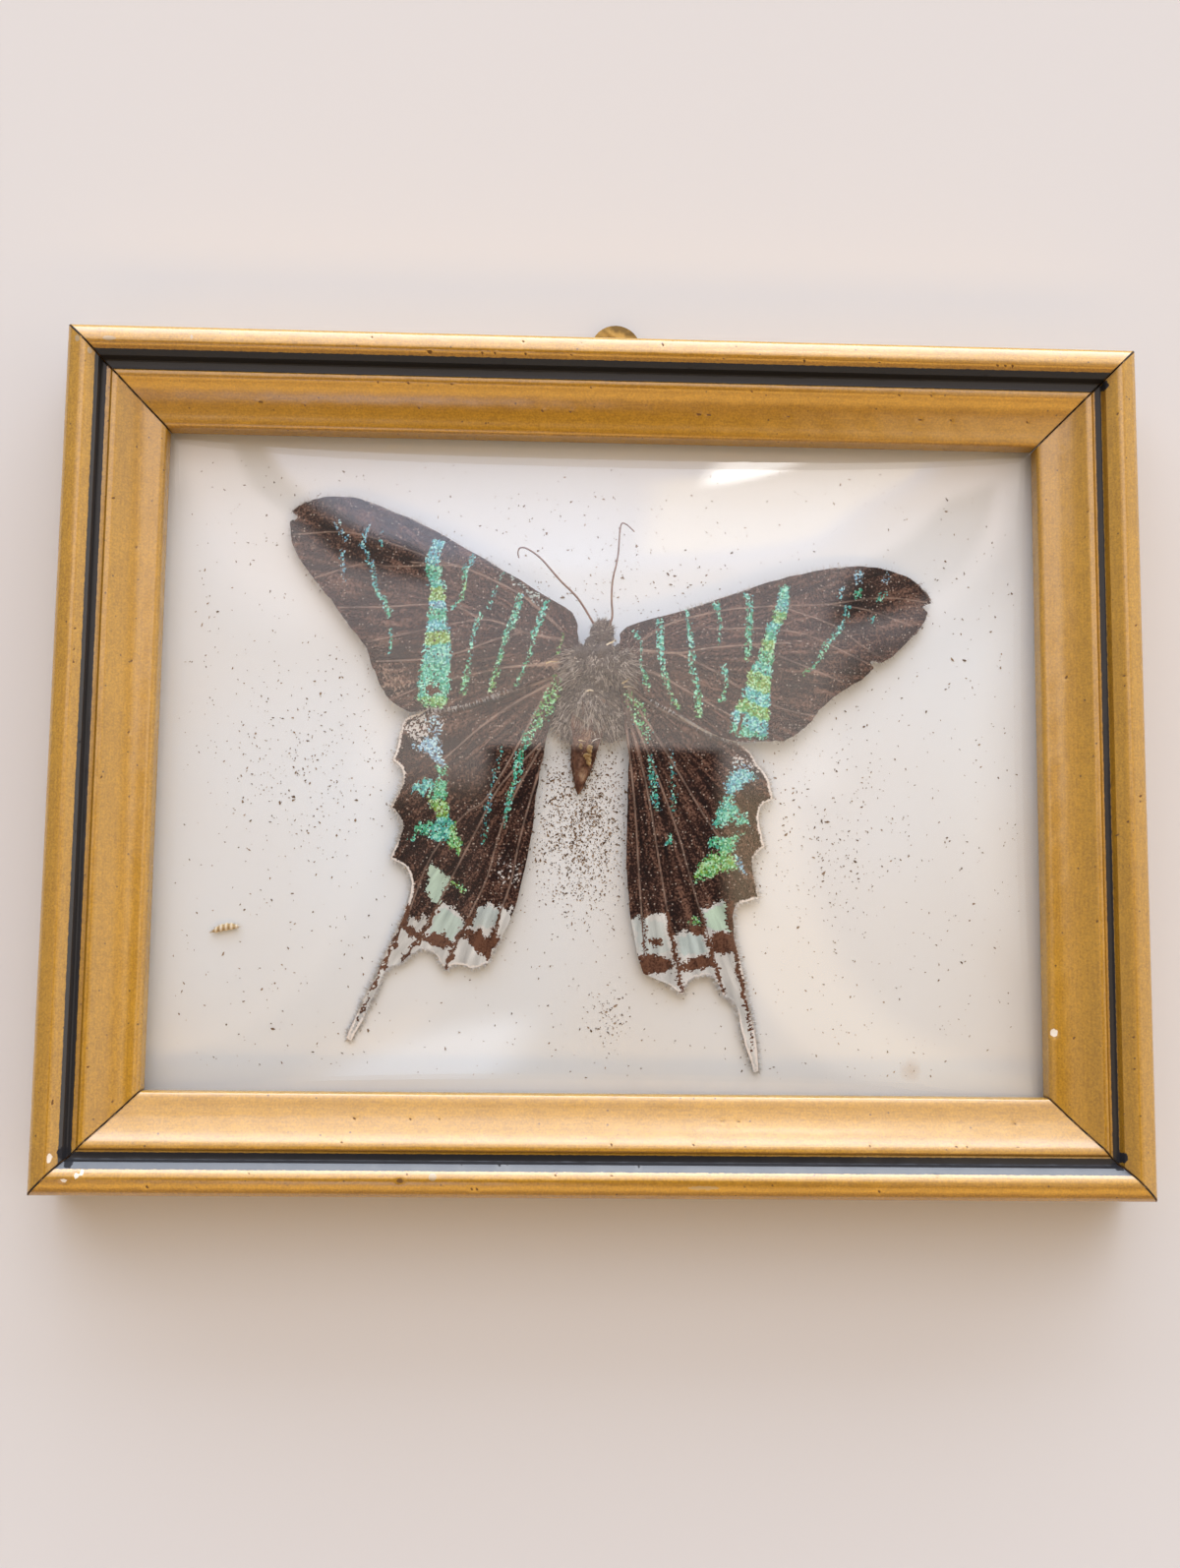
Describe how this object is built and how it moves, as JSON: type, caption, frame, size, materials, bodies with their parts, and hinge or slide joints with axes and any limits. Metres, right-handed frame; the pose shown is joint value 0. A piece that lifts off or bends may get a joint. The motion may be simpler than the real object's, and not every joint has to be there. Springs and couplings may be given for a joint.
{
  "type": "framed moth specimen",
  "caption": "Swallow-tailed day-flying moth fixed to a white card under convex glass in a mitred gilt wood frame with a brass hanger.",
  "frame": {"origin": "middle of the whole outline, hanger included, on the flat back of the frame", "axes": "+X to the right along the long rails, +Y towards the hanger on the top rail, +Z out of the front"},
  "size_m": [0.127, 0.1054, 0.0119],
  "materials": {
    "gilt_wood": "bronze-gilt paint on a gesso ground, satin",
    "convex_glass": "clear, polished",
    "mount_card": "matt white card",
    "back_board": "grey-brown pulp board",
    "steel_pin": "dull steel",
    "brass_hanger": "tarnished pressed brass",
    "wing": "dry scaled wing membrane",
    "fur": "dry fuzzy hair",
    "chitin": "dry brown cuticle"
  },
  "bodies": {
    "root": {"rail_top": "gilt_wood", "rail_bottom": "gilt_wood", "rail_left": "gilt_wood", "rail_right": "gilt_wood", "convex_glass": "convex_glass", "mount_card": "mount_card", "back_board": "back_board", "brad_top_left": "steel_pin", "brad_top_right": "steel_pin", "brad_bottom_left": "steel_pin", "brad_bottom_right": "steel_pin", "brad_left_upper": "steel_pin", "brad_left_lower": "steel_pin", "brad_right_upper": "steel_pin", "brad_right_lower": "steel_pin", "hanger_plate": "brass_hanger", "hanger_nail_left": "steel_pin", "hanger_nail_right": "steel_pin", "head": "fur", "thorax": "fur", "abdomen": "chitin", "antenna_left": "chitin", "antenna_right": "chitin", "forewing_left": "wing", "forewing_right": "wing", "hindwing_left": "wing", "hindwing_right": "wing"}
  },
  "joints": []
}
